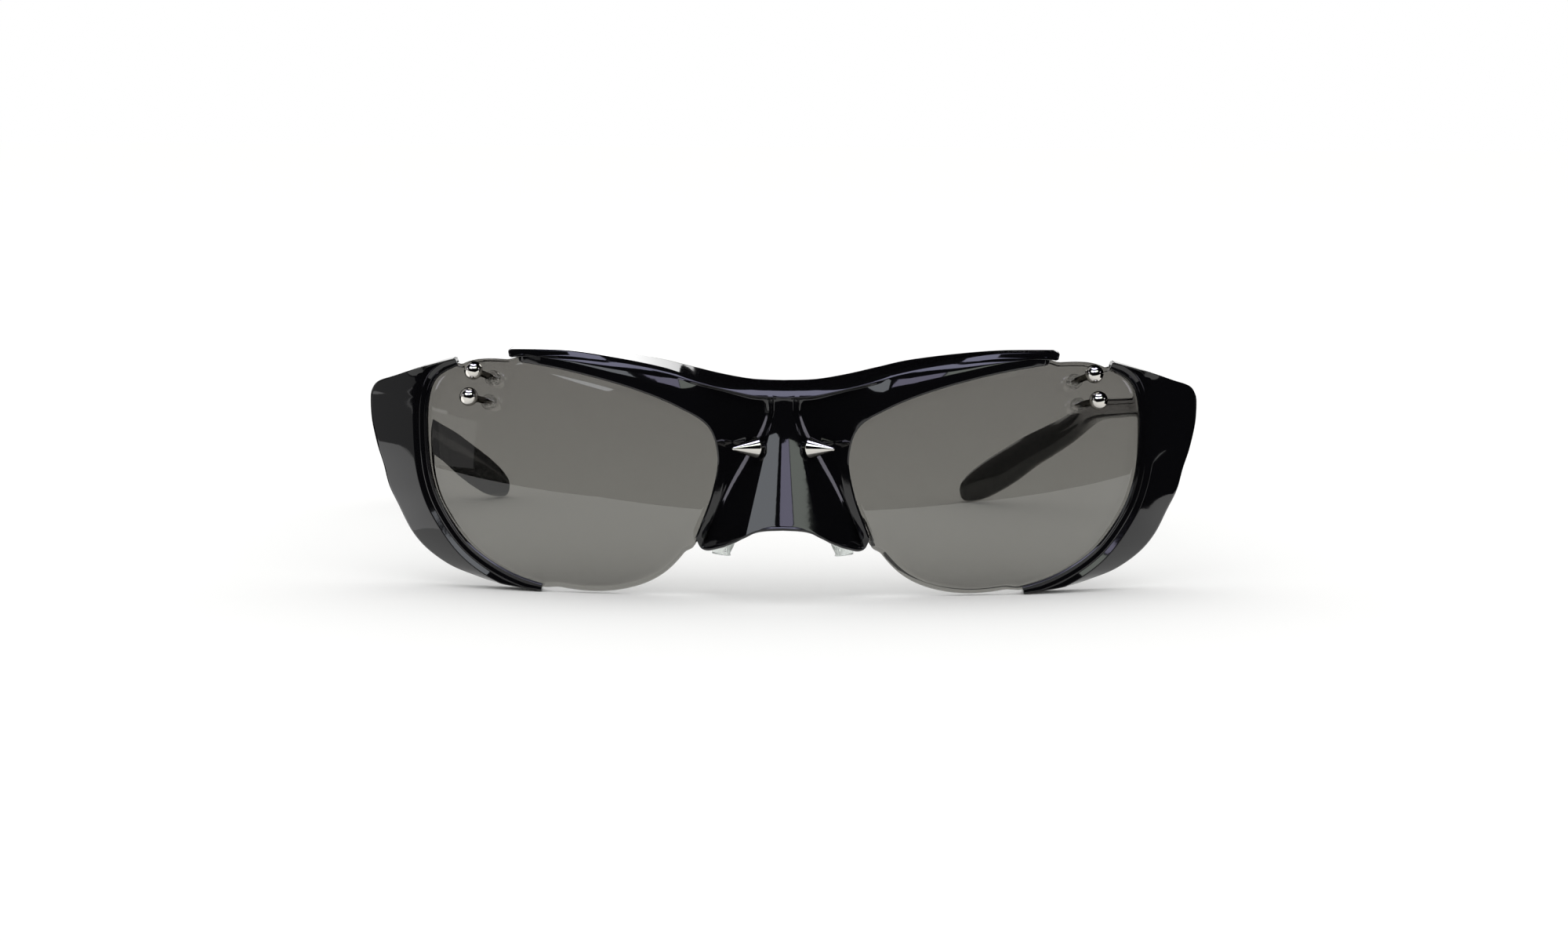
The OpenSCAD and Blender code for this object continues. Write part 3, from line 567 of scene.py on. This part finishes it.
# Temples: middle of the temple as x, y and z, then its height and thickness
templePath = [
    (72.9, 30, 30.8, 6.2, 3.6), (72.6, 38, 30.3, 5.4, 3.4), (72.3, 48, 29.2, 4.3, 3.2),
    (72.1, 60, 28, 3.8, 3), (72, 80, 26, 4, 3), (71.86, 100, 23.9, 4.4, 3),
    (71.36, 113, 21.2, 5, 3.1), (68.9, 121.4, 17.6, 5.8, 3.2), (66, 127, 14.8, 6.4, 3.3),
    (62.7, 132, 12, 7, 3.4), (59.5, 137.3, 8.7, 7.6, 3.4), (56.2, 142.3, 5.6, 7.6, 3.3),
    (53.4, 146.2, 3.1, 6.7, 3.1), (51.4, 148.8, 1.5, 4.6, 2.8), (50.7, 149.8, 1.1, 2.8, 2)]
templeShape = {"buttX": 73.1, "buttZ": 31.2, "buttHigh": 6.8, "buttThick": 3.5, "gap": 0.1, "square": 3.0,
               "around": 44, "cuts": 120, "buttCuts": 8, "tipCuts": (0.35, 0.7)}


def softSquare(square, count):
    # Outline one unit wide and high: an ellipse at square 2, nearly a rectangle at a high one
    pts = []
    for k in range(count):
        a = math.pi / 2 - 2 * math.pi * k / count
        c, s = math.cos(a), math.sin(a)
        pts.append((0.5 * math.copysign(abs(c) ** (2 / square), c), 0.5 * math.copysign(abs(s) ** (2 / square), s)))
    return pts


def sweptRings(rows, outline):
    rows = np.array(rows)
    rings = []
    for i, row in enumerate(rows):
        ahead = rows[min(len(rows) - 1, i + 1), :3] - rows[max(0, i - 1), :3]
        way = ahead / np.linalg.norm(ahead)
        side = np.cross(way, (0, 0, 1))
        side /= np.linalg.norm(side)
        top = np.cross(side, way)
        rings.append([row[:3] + side * c[0] * row[4] + top * c[1] * row[3] for c in outline])
    return np.array(rings)


def makeTemple(side):
    s = templeShape
    outline = softSquare(s["square"], s["around"])
    rows = [along(templePath, i) for i in np.linspace(0, len(templePath) - 1, s["cuts"])]
    swept = turnedRings(sweptRings(rows, outline), -hingePin["splay"])
    butt = np.array([[s["buttX"] + c[0] * s["buttThick"], hingePin["y"] + s["gap"],
                      s["buttZ"] + c[1] * s["buttHigh"]] for c in outline])
    start = [mix(butt, swept[0], f) for f in np.linspace(0, 1, s["buttCuts"])[:-1]]
    tip = [mix(swept[-1], swept[-1].mean(axis=0), f) for f in s["tipCuts"]]
    rings = np.array(start + list(swept) + tip)
    if side == "right":
        rings = turnedRings(rings, hingePin["rightRest"])
    return loftMesh(side + "TempleArm", rings, nylon, side + "_temple_arm", [side + "_temple"],
                    side == "left")


# Nose pads: middle of the pad as x, y and z, then its thickness and width
padPath = [(11, 4.6, 18.6, 0.8, 1.4), (11.1, 4.9, 17.4, 1.6, 2.6), (11.5, 5.6, 14.6, 1.9, 3.8),
           (11.5, 6.3, 11.2, 1.9, 5), (11.2, 6.9, 8, 1.9, 6), (11, 7.1, 5.8, 1.2, 5)]
padShape = {"cuts": 40, "square": 2.3, "around": 28}


def makePad(side):
    rows = [along(padPath, i) for i in np.linspace(0, len(padPath) - 1, padShape["cuts"])]
    rings = sweptRings(rows, softSquare(padShape["square"], padShape["around"]))
    return loftMesh(side + "NosePad", rings, silicone, "front", [side + "_nose_pad"], side == "left")


# Turned pieces, from their profiles as (radius, height) along their axis
studShape = {"ball": 1.65, "out": 5.2, "post": 0.6, "keeper": 1.4, "keeperLong": 1.8, "end": 0.35, "gap": 0.05,
             "ballCuts": 40, "keeperCuts": 32}
studPlaces = {"upper": (53.1, 37.35), "lower": (53.8, 33.0)}
spikeShape = {"long": 4.8, "base": 1.9, "tip": 0.35, "forward": 33.0, "z": 26.2, "share": 0.6, "off": 1.05,
              "stem": 0.6, "stemLong": 2.0, "baseRound": [(0.5, 0), (0.25, 0.08), (0.08, 0.25), (0.04, 0.5)]}
turnedAround = 64


def turned(name, profile, origin, axis, material, side, replaced):
    axis = np.array(axis) / np.linalg.norm(axis)
    across = np.cross(axis, (0.3, 0.1, 1.0))
    across /= np.linalg.norm(across)
    upward = np.cross(axis, across)
    rings = []
    for r, h in profile:
        rings.append([np.array(origin) + axis * h + (across * math.cos(a) + upward * math.sin(a)) * max(r, 0.01)
                      for a in np.linspace(0, 2 * math.pi, turnedAround, endpoint=False)])
    return loftMesh(name, rings, material, "front", [replaced], side == "left")


def makeStud(side, row):
    s = studShape
    p = studPlaces[row]
    at = lift(p, lensFront(p))
    axis = (at - np.array([lensShape["apexX"], lensShape["radius"], lensShape["apexZ"]])) / lensShape["radius"]
    low = math.asin(s["post"] / s["ball"])
    ball = [(s["ball"] * math.sin(a), s["out"] - s["ball"] * math.cos(a))
            for a in np.linspace(low, math.pi, s["ballCuts"])]
    back = -lensShape["thick"] - s["keeperLong"]
    # Behind the lens the post is turned down to a thin end
    post = [(0, back), (s["end"] * 0.8, back), (s["end"], back + 0.1), (s["end"], -lensShape["thick"]),
            (s["post"], -lensShape["thick"] + 0.1)]
    turned(side + row.capitalize() + "Barbell", post + ball, at, axis, steel, side, f"{side}_{row}_stud")
    # The keeper is a clear ring, rounded all round
    middle, half = -lensShape["thick"] - s["gap"] - s["keeperLong"] / 2, (s["keeper"] - s["post"] - s["gap"]) / 2
    ring = [(s["post"] + s["gap"] + half - half * math.cos(a), middle + s["keeperLong"] / 2 * math.sin(a))
            for a in np.linspace(0, 2 * math.pi, s["keeperCuts"])]
    turned(side + row.capitalize() + "Keeper", ring, at, axis, acrylic, side, f"{side}_{row}_keeper")


def makeSpike(side):
    s = spikeShape
    seat = pillarPoint(s["share"], s["z"], 0)
    a = math.radians(s["forward"])
    axis = np.array([math.cos(a), -math.sin(a), 0])
    base = seat + axis * s["off"]
    tip = [(s["tip"] * math.cos(b), s["long"] + s["tip"] * math.sin(b)) for b in np.linspace(0, math.pi / 2, 8)]
    foot = -s["off"] - s["stemLong"] + 0.05
    profile = [(0, foot), (s["stem"], foot), (s["stem"], -0.05)]
    profile += [(s["base"] - inset, height) for inset, height in s["baseRound"]] + tip
    turned(side + "ConeSpike", profile, base, axis, steel, side, side + "_spike")


makeBridge()
for side in ("left", "right"):
    makeLens(side)
    makeWing(side)
    makeTemple(side)
    makePad(side)
    makeSpike(side)
    for row in studPlaces:
        makeStud(side, row)
# The hinges and rivets stay as drawn and get their metal
for name, obj in frame["nodes"].items():
    if "hinge" in name or "rivets" in name:
        obj.data.materials.clear()
        obj.data.materials.append(nickel)
print("pieces made")

# Stage: a white sweep, a dark studio that only mirrors see, soft boxes in it and one lamp
stageLook = {"floor": "#FCFCFB", "floorSize": 12.0, "darkRoom": "#050506", "pastDome": -3.2,
             "edgeHeight": 0.0015, "patchHeight": 0.0012, "cardColumns": 24, "cardRows": 8}
# Front edge of the white table, as x and y in millimetres of the drawing
tableEdge = [(-2900, -700), (-700, -330), (-282, -211), (-88, -150), (0, -88), (74, -123), (241, -165), (700, -260),
             (2900, -600)]


def skyPoint(azimuth, elevation, radius):
    # Azimuth 0 is in front of the glasses, positive to the right as the camera sees it
    az, el = math.radians(azimuth), math.radians(elevation)
    return (radius * math.cos(el) * math.sin(az), -radius * math.cos(el) * math.cos(az), radius * math.sin(el))


def sumOfRays(tree, ray, names):
    # Adds up Light Path outputs and keeps the sum at 1
    total = (ray, names[0])
    for name in names[1:]:
        add = node(tree, "ShaderNodeMath", {"operation": "ADD", "use_clamp": True})
        tree.links.new(total[0].outputs[total[1]], add.inputs[0])
        tree.links.new(ray.outputs[name], add.inputs[1])
        total = (add, "Value")
    return total


def glowMaterial(name, colour, strength):
    mat, tree, shader = newMaterial(name)
    glow = node(tree, "ShaderNodeEmission", inputs={"Color": srgb(colour), "Strength": strength})
    tree.links.new(glow.outputs["Emission"], tree.nodes["Material Output"].inputs["Surface"])
    return mat


def stageMesh(name, verts, faces, material, onlyMirrors):
    mesh = bpy.data.meshes.new(name)
    mesh.from_pydata(verts, [], faces)
    mesh.materials.append(material)
    obj = bpy.data.objects.new(name, mesh)
    bpy.context.scene.collection.objects.link(obj)
    if onlyMirrors:
        for ray in ("camera", "diffuse", "transmission", "volume_scatter", "shadow"):
            setattr(obj, "visible_" + ray, False)
    return obj


def makeFloor():
    mat, tree, shader = newMaterial("matteWhiteSweep")
    shader.inputs["Base Color"].default_value = srgb(stageLook["floor"])
    shader.inputs["Roughness"].default_value = 0.9
    shader.inputs["Specular IOR Level"].default_value = 0.0
    half = stageLook["floorSize"] / 2
    stageMesh("paperSweep", [(-half, -half, 0), (half, -half, 0), (half, half, 0), (-half, half, 0)],
              [(0, 1, 2, 3)], mat, False)


def makeCard(name, colour, strength, azimuths, elevations, radius):
    # A patch of a dome between two azimuths; elevations holds its low and high edge at each end
    columns, rows = stageLook["cardColumns"], stageLook["cardRows"]
    verts, faces = [], []
    for i in range(rows + 1):
        for j in range(columns + 1):
            u, v = j / columns, i / rows
            low, high = mix(elevations[0], elevations[2], u), mix(elevations[1], elevations[3], u)
            verts.append(skyPoint(mix(azimuths[0], azimuths[1], u), mix(low, high, v), radius))
    for i in range(rows):
        for j in range(columns):
            a = i * (columns + 1) + j
            faces.append((a, a + 1, a + columns + 2, a + columns + 1))
    stageMesh(name, verts, faces, glowMaterial(name + "Glow", colour, strength), True)


def makeTableEnd():
    # Beyond the table's front edge mirrors see a dark room
    mat = glowMaterial("darkBeyondTable", stageLook["darkRoom"], 1.0)
    height = stageLook["edgeHeight"]
    near = [(*toFrame([x, y, 0])[:2], height) for x, y in tableEdge]
    far = [(x, stageLook["pastDome"], height) for x, y, z in near]
    n = len(near)
    stageMesh("beyondTable", near + far, [(i, n + i, n + i + 1, i + 1) for i in range(n - 1)], mat, True)


def makePatch(name, colour, strength, corners):
    # A flat patch just over the table, given in millimetres of the drawing; only mirrors see it, so it paints a
    # darker or brighter reflection of the table
    points = [(*toFrame([x, y, 0])[:2], stageLook["patchHeight"]) for x, y in corners]
    stageMesh(name, points, [tuple(range(len(points)))], glowMaterial(name + "Glow", colour, strength), True)


def makeScreen(name, colour, strength, depth, corners):
    # A small upright card close behind the frame, so only the brow part before it mirrors it
    points = [tuple(toFrame([x, depth, z])) for x, z in corners]
    stageMesh(name, points, [tuple(range(len(points)))], glowMaterial(name + "Glow", colour, strength), True)


# Each screen: colour, strength, depth in millimetres, then its corners as x and z
screens = {
    "browScreen": ("#FFFFFF", 3.0, 49, ((-39, 43), (-31, 43), (-14, 58.5), (-8.2, 76), (-20, 71), (-39, 57))),
}
# Each patch: colour, strength, then its corners as x and y
patches = {
    # Painted reflections: these dark and bright patches change only what the frame's glossy parts see of the white
    # table
    "rightDark": ("#050506", 1.0, ((118, -10), (3000, -620), (3000, 900), (118, 900))),
    "leftBright": ("#FFFFFF", 1.5, ((-84, -5), (-84, 45), (-3000, 240), (-3000, -600))),
    "leftDark": ("#050506", 1.0, ((-84, 45), (-84, 900), (-3000, 900), (-3000, 240))),
    # Painted shade: the dark patch between the temples stands in for the frame's shadow on the table
    "betweenTemplesShade": ("#050506", 1.0, ((-84, 110), (10, 110), (10, 200), (-84, 200))),
}
# Each card: colour, strength, azimuths of its ends, low and high edge at the first end and at the second, radius
cards = {
    "darkFront": ("#050506", 1.0, (-66, 100), (0, 62, 0, 62), 3.0),
    "leftWall": ("#8F8F8F", 1.2, (-150, -98), (0, 62, 0, 62), 3.0),
    "leftLow": ("#8F8F8F", 1.2, (-98, -56), (0, 12, 0, 11), 2.98),
    "darkLeft": ("#050506", 1.0, (-98, -66), (12, 62, 12, 62), 3.0),
    "rightWall": ("#050506", 1.0, (100, 150), (0, 62, 0, 62), 3.0),
    "darkCeiling": ("#050506", 1.0, (-180, 180), (60, 90, 60, 90), 3.1),
    "darkBack": ("#050506", 1.0, (150, 210), (5, 62, 5, 62), 3.0),
    "backWindow": ("#FFFFFF", 3.0, (186, 225), (9, 19, 9, 19), 0.6),
    "leftSlit": ("#D9D6E4", 3.4, (-84, -72), (16, 21, 16, 21), 2.95),
    "leftBox": ("#E6EBF2", 3.3, (-50, -20), (27, 44, 22, 44), 2.9),
    "leftBoxIn": ("#E6EBF2", 3.3, (-20, -10), (22, 44, 25, 44), 2.9),
    "lilacBox": ("#D6D2F2", 3.6, (-4, 13), (28, 44, 26, 44), 2.9),
    "greenBox": ("#DDE5DC", 3.3, (14, 50), (26, 44, 30, 44), 2.9),
    "rightSlit": ("#D9D6E4", 3.4, (72, 84), (16, 21, 16, 21), 2.95),
    "overheadBox": ("#D2D2F2", 4.8, (-80, 80), (60, 77, 60, 77), 2.85),
}
overheadLamp = {"wide": 1.2, "deep": 0.8, "watts": 1.6, "at": (-0.3, 0.25, 1.6)}


def makeLamp():
    # One broad lamp overhead gives the soft shadow a direction
    s = overheadLamp
    light = bpy.data.lights.new("overheadLamp", "AREA")
    light.shape = "RECTANGLE"
    light.size, light.size_y = s["wide"], s["deep"]
    light.energy = s["watts"]
    lamp = bpy.data.objects.new("overheadLamp", light)
    lamp.location = s["at"]
    lamp.rotation_mode = "QUATERNION"
    lamp.rotation_quaternion = (Vector((0, 0, 0)) - lamp.location).to_track_quat("-Z", "Y")
    bpy.context.scene.collection.objects.link(lamp)
    lamp.visible_camera = False
    lamp.visible_glossy = False


def makeWorld():
    world = bpy.data.worlds.new("whiteCove")
    bpy.context.scene.world = world
    world.use_nodes = True
    tree = world.node_tree
    back = tree.nodes["Background"]
    back.inputs["Color"].default_value = srgb("#FFFFFF")
    ray = node(tree, "ShaderNodeLightPath")
    seen = sumOfRays(tree, ray, ["Is Camera Ray", "Is Glossy Ray", "Is Transmission Ray"])
    level = node(tree, "ShaderNodeMapRange", inputs={"To Min": 1.03, "To Max": 1.0}, links={"Value": seen})
    tree.links.new(level.outputs["Result"], back.inputs["Strength"])


# Camera: the photograph's view, 0.6 m away and a little above
cameraView = {"distance": 600.0, "height": 86.4, "aim": (0.14, 0.0, 21.7), "focalPixels": 4356.0,
              "widePixels": 2000.0, "roll": 0.35, "sensor": 36.0, "clip": (0.02, 20.0)}


def makeCamera():
    v = cameraView
    data = bpy.data.cameras.new("photoCamera")
    data.sensor_width = v["sensor"]
    data.lens = v["sensor"] * v["focalPixels"] / v["widePixels"]
    data.clip_start, data.clip_end = v["clip"]
    cam = bpy.data.objects.new("photoCamera", data)
    cam.location = Vector(toFrame([0, -v["distance"], v["height"]]))
    aim = Vector(toFrame(v["aim"]))
    look = (aim - cam.location).to_track_quat("-Z", "Y")
    cam.rotation_mode = "QUATERNION"
    cam.rotation_quaternion = look @ Matrix.Rotation(math.radians(v["roll"]), 4, "Z").to_quaternion()
    bpy.context.scene.collection.objects.link(cam)
    bpy.context.scene.camera = cam


makeFloor()
makeTableEnd()
for name, card in cards.items():
    makeCard(name, *card)
for name, patch in patches.items():
    makePatch(name, *patch)
for name, screen in screens.items():
    makeScreen(name, *screen)
makeLamp()
makeWorld()
makeCamera()
bpy.context.scene.view_settings.view_transform = "Standard"
print("stage and camera made")
